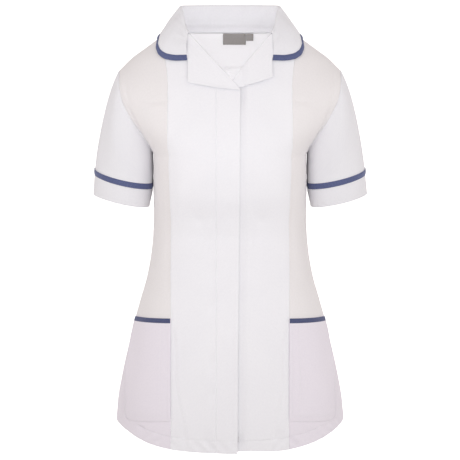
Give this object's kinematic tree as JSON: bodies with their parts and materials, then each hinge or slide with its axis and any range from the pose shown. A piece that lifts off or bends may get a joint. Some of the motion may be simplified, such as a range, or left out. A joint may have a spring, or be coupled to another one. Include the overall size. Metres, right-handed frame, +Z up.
{
  "type": "zip-front tunic",
  "caption": "Fitted short-sleeved work tunic with revere collar, concealed front zip, patch pockets on flared side panels and contrast braid on collar, sleeves and pocket mouths",
  "frame": {"origin": "middle of the neck opening at the height of the shoulder seams' neck ends, where the wearer's neck and shoulders hold the tunic up", "axes": "+Z up, -Y to the front, +X to the wearer's left"},
  "size_m": [0.4964, 0.2775, 0.7894],
  "materials": {
    "cloth": "matt white polyester and cotton twill",
    "braid": "matt navy woven braid",
    "tape": "matt white woven zip tape",
    "teeth": "satin white coil",
    "metal": "satin nickel",
    "label": "grey satin weave"
  },
  "bodies": {
    "tunic": {"front_right_centre": "cloth", "front_left_centre": "cloth", "front_right_side": "cloth", "front_left_side": "cloth", "back_yoke": "cloth", "back": "cloth", "sleeve_right": "cloth", "sleeve_left": "cloth", "cuff_right": "cloth", "cuff_left": "cloth", "collar": "cloth", "lapel_right": "cloth", "lapel_left": "cloth", "pocket_right": "cloth", "pocket_left": "cloth", "fly_underlay": "cloth", "cuff_trim_right": "braid", "cuff_trim_left": "braid", "collar_trim": "braid", "pocket_trim_right": "braid", "pocket_trim_left": "braid", "zip_tape_right": "tape", "zip_tape_left": "tape", "zip_chain": "teeth", "zip_slider": "metal", "label_main": "label", "label_size": "label"},
    "zip_pull": {"zip_pull": "metal"}
  },
  "joints": [
    {"name": "pull_hinge", "type": "hinge", "parent": "tunic", "child": "zip_pull", "pos_m": [0, -0.0934, -0.13236], "axis": [-1, 0, 0], "range_deg": [0, 7]}
  ]
}
